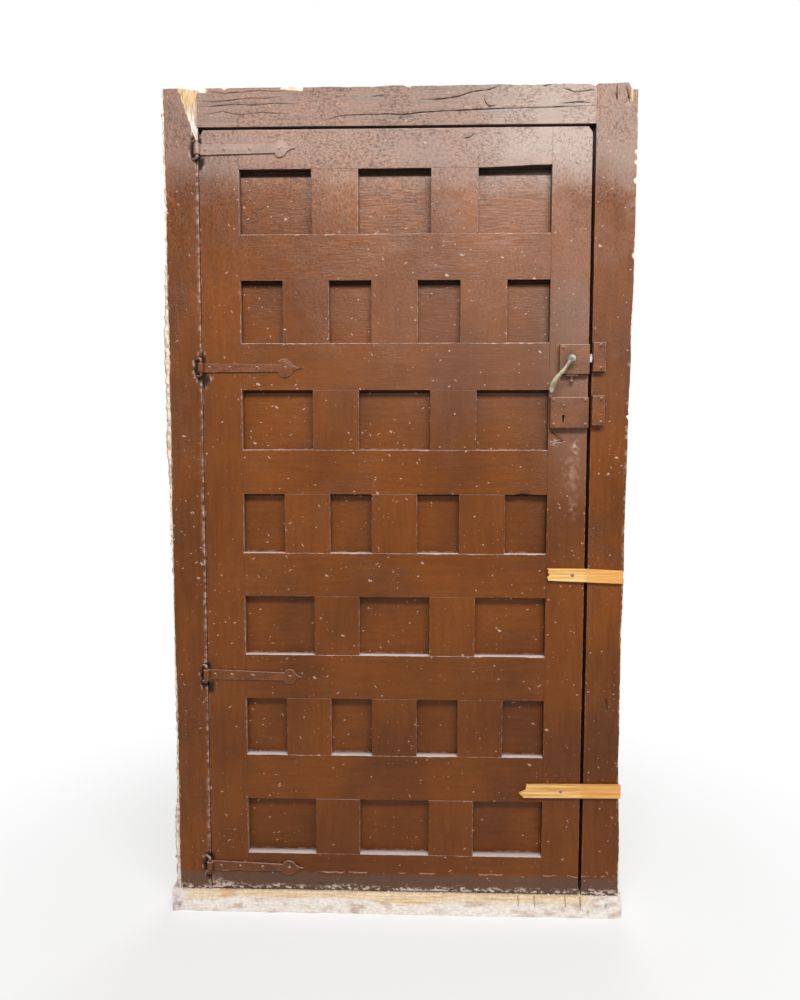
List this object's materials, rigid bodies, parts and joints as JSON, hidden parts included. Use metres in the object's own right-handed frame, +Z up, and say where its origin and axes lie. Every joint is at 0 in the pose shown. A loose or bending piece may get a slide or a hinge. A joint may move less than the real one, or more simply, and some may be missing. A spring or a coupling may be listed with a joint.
{
  "type": "panelled wooden door in its frame",
  "caption": "Old painted door of many small recessed panels in a rebated timber frame, on forged strap hinges, with a rim latch and a rim lock.",
  "frame": {"origin": "middle of the sill board's underside, half-way through the frame's depth", "axes": "+X from the hinge side to the lock side, +Y from the front face to the back, +Z up"},
  "size_m": [1.179, 0.1355, 2.101],
  "materials": {
    "painted_frame": "gloss brown paint, worn",
    "painted_leaf": "gloss brown paint, worn",
    "painted_panel": "gloss brown paint, worn",
    "raw_board": "raw wood with lime wash",
    "raw_lath": "raw pine",
    "painted_iron": "brown paint over forged iron",
    "brass_lever": "dull, worn",
    "bright_steel": "bright from wear",
    "plain_steel": "dull",
    "nail_steel": "dull, slightly rusty"
  },
  "bodies": {
    "frame": {"left_jamb": "painted_frame", "right_jamb": "painted_frame", "head_beam": "painted_frame", "sill_board": "raw_board", "sill_nails": "nail_steel", "pintle_1": "painted_iron", "pintle_2": "painted_iron", "pintle_3": "painted_iron", "pintle_4": "painted_iron", "latch_keeper": "painted_iron", "lock_keeper": "painted_iron", "keeper_screws": "painted_iron"},
    "leaf": {"batten_nails": "nail_steel", "hinge_stile": "painted_leaf", "latch_case": "painted_iron", "latch_plate": "painted_iron", "lock_case": "painted_iron", "lock_guide_pin": "plain_steel", "lock_plate": "painted_iron", "lock_screws": "painted_iron", "lock_spring": "plain_steel", "lock_stile": "painted_leaf", "lower_batten": "raw_lath", "muntins_row_1": "painted_leaf", "muntins_row_2": "painted_leaf", "muntins_row_3": "painted_leaf", "muntins_row_4": "painted_leaf", "muntins_row_5": "painted_leaf", "muntins_row_6": "painted_leaf", "muntins_row_7": "painted_leaf", "panels_row_1": "painted_panel", "panels_row_2": "painted_panel", "panels_row_3": "painted_panel", "panels_row_4": "painted_panel", "panels_row_5": "painted_panel", "panels_row_6": "painted_panel", "panels_row_7": "painted_panel", "rail_1": "painted_leaf", "rail_2": "painted_leaf", "rail_3": "painted_leaf", "rail_4": "painted_leaf", "rail_5": "painted_leaf", "rail_6": "painted_leaf", "rail_7": "painted_leaf", "rail_8": "painted_leaf", "strap_1": "painted_iron", "strap_2": "painted_iron", "strap_3": "painted_iron", "strap_4": "painted_iron", "strap_nails": "painted_iron", "upper_batten": "raw_lath"},
    "handle": {"handle": "brass_lever", "latch_cam": "plain_steel"},
    "latch_bolt": {"latch_bolt": "bright_steel"},
    "dead_bolt": {"dead_bolt": "plain_steel"},
    "snib": {"snib": "painted_iron"}
  },
  "joints": [
    {"name": "leaf_swing", "type": "hinge", "parent": "frame", "child": "leaf", "pos_m": [-0.48725, -0.0534, 1.0315], "axis": [0, 0, -1], "range_deg": [0, 110]},
    {"name": "handle_turn", "type": "hinge", "parent": "leaf", "child": "handle", "pos_m": [0.427, -0.063, 1.4426], "axis": [0, 1, 0], "range_deg": [0, 65]},
    {"name": "latch_slide", "type": "slide", "parent": "leaf", "child": "latch_bolt", "axis": [1, 0, 0], "range_m": [0, 0.01407]},
    {"name": "dead_bolt_slide", "type": "slide", "parent": "leaf", "child": "dead_bolt", "axis": [1, 0, 0], "range_m": [0, 0.016]},
    {"name": "snib_slide", "type": "slide", "parent": "leaf", "child": "snib", "axis": [1, 0, 0], "range_m": [-0.005, 0.005]}
  ],
  "couplings": [
    {"joint": "latch_slide", "follows": "handle_turn", "m_per_rad": 0.012314}
  ]
}
